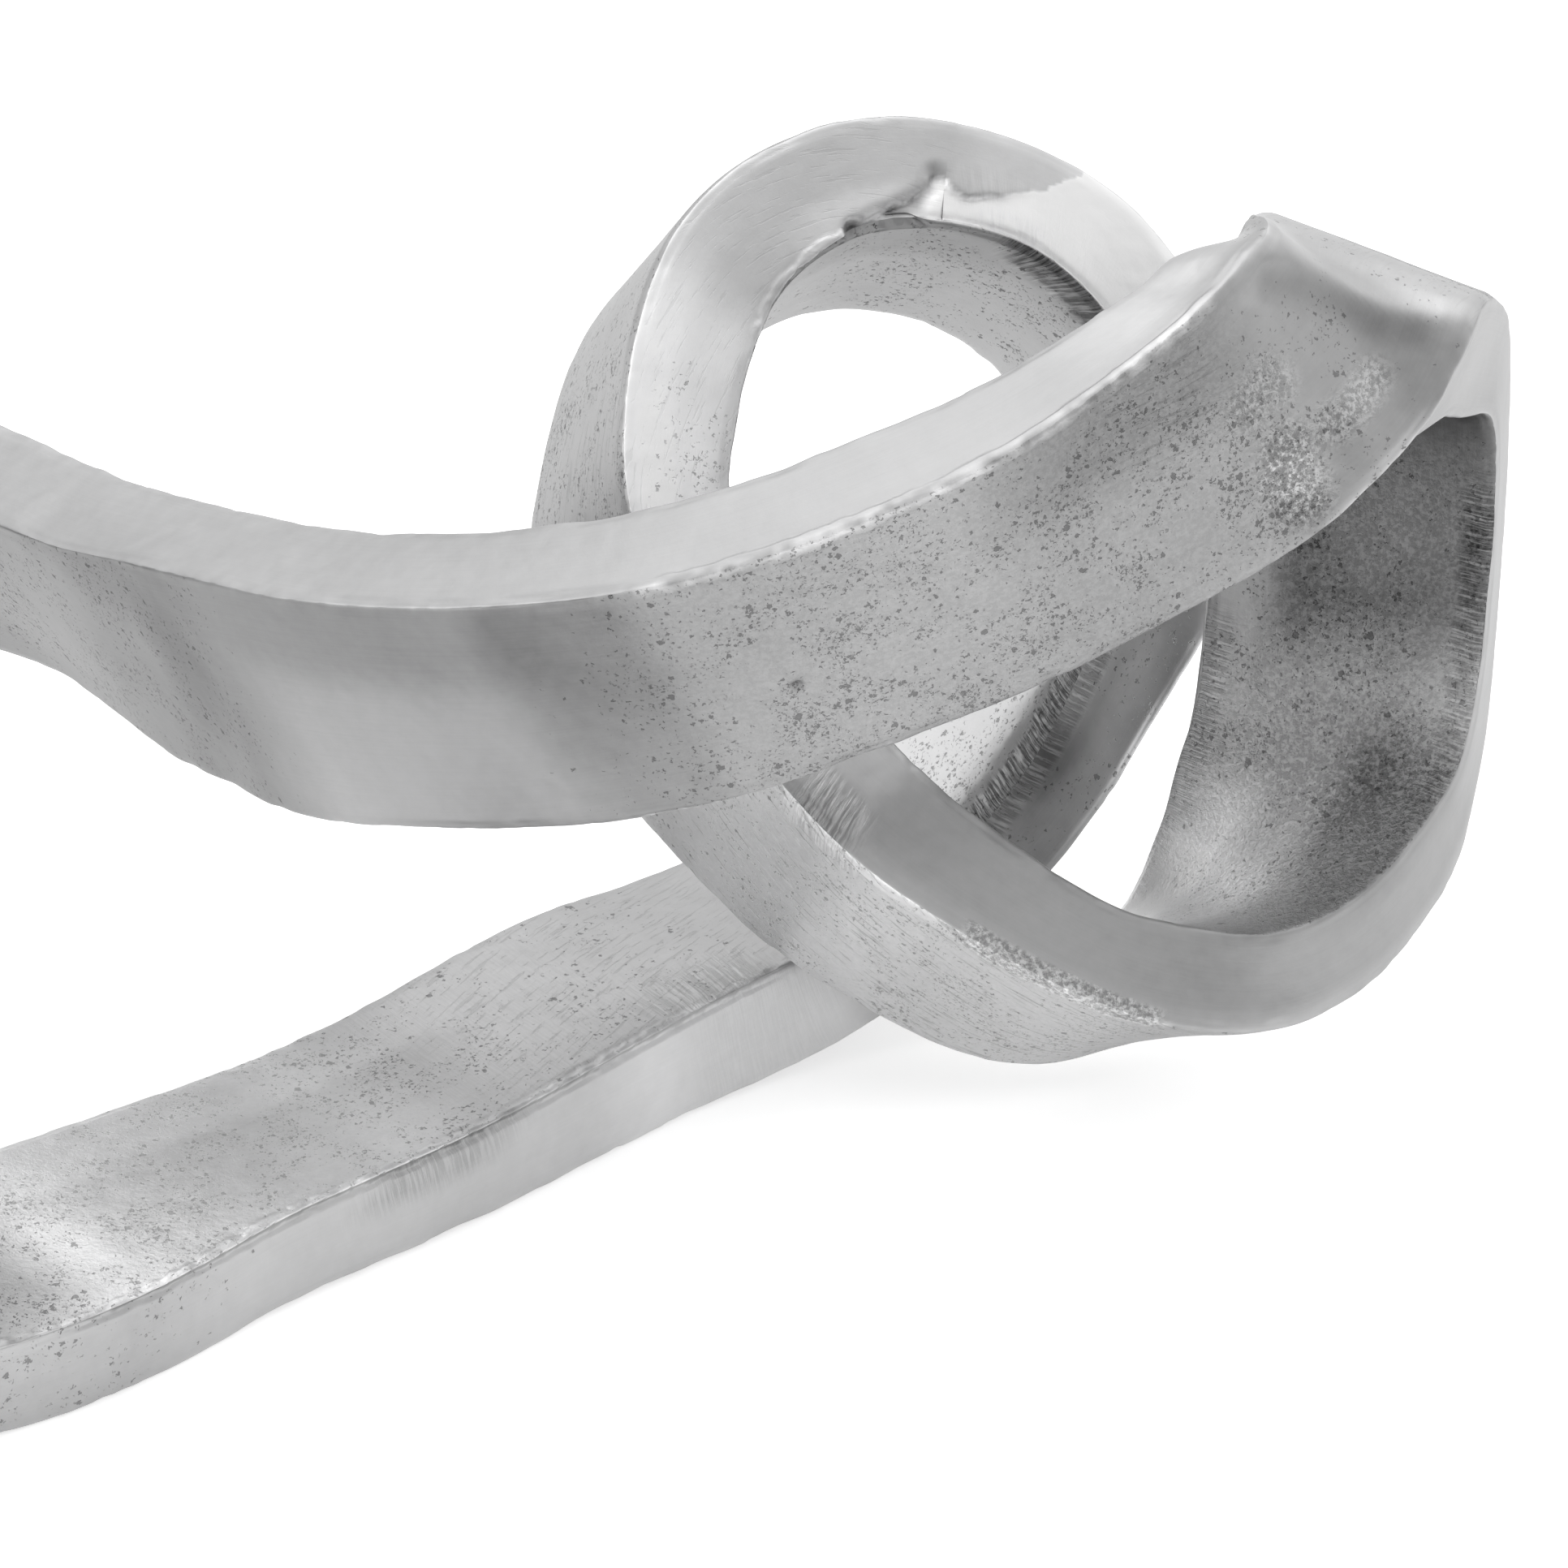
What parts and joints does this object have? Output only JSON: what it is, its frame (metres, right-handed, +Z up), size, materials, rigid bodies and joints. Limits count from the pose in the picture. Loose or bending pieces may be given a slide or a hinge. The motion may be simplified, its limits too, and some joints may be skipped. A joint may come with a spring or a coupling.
{
  "type": "coiled bar sculpture",
  "caption": "Tabletop sculpture of one flat, hand-filed metal bar that loops, folds over and coils back on itself like a loose knot, resting on its lower arm.",
  "frame": {"origin": "centre of the bounding box's bottom, on the table", "axes": "+X along the length, from the left loop to the folded end; +Y away from the side that faces the viewer; +Z up"},
  "size_m": [0.2797, 0.1913, 0.1194],
  "materials": {
    "cast_aluminium": "sand cast, filed and brushed by hand to a soft satin with open pits",
    "weld_aluminium": "weld bead filed flush with the bar",
    "dowel_aluminium": "plain drawn rod"
  },
  "bodies": {
    "root": {"crossing_dowels": "dowel_aluminium", "crossing_weld": "weld_aluminium", "foot_dowels": "dowel_aluminium", "foot_weld": "weld_aluminium", "front_arm_casting": "cast_aluminium", "front_band_casting": "cast_aluminium", "front_dowels": "dowel_aluminium", "front_weld": "weld_aluminium", "left_bend_casting": "cast_aluminium", "left_dowels": "dowel_aluminium", "left_weld": "weld_aluminium", "lower_arm_casting": "cast_aluminium", "lower_hook_casting": "cast_aluminium", "rear_dowels": "dowel_aluminium", "rear_weld": "weld_aluminium", "ring_left_casting": "cast_aluminium", "ring_right_casting": "cast_aluminium", "ring_top_dowels": "dowel_aluminium", "ring_top_weld": "weld_aluminium", "riser_dowels": "dowel_aluminium", "riser_weld": "weld_aluminium", "shoulder_dowels": "dowel_aluminium", "shoulder_weld": "weld_aluminium", "top_fold_casting": "cast_aluminium"}
  },
  "joints": []
}
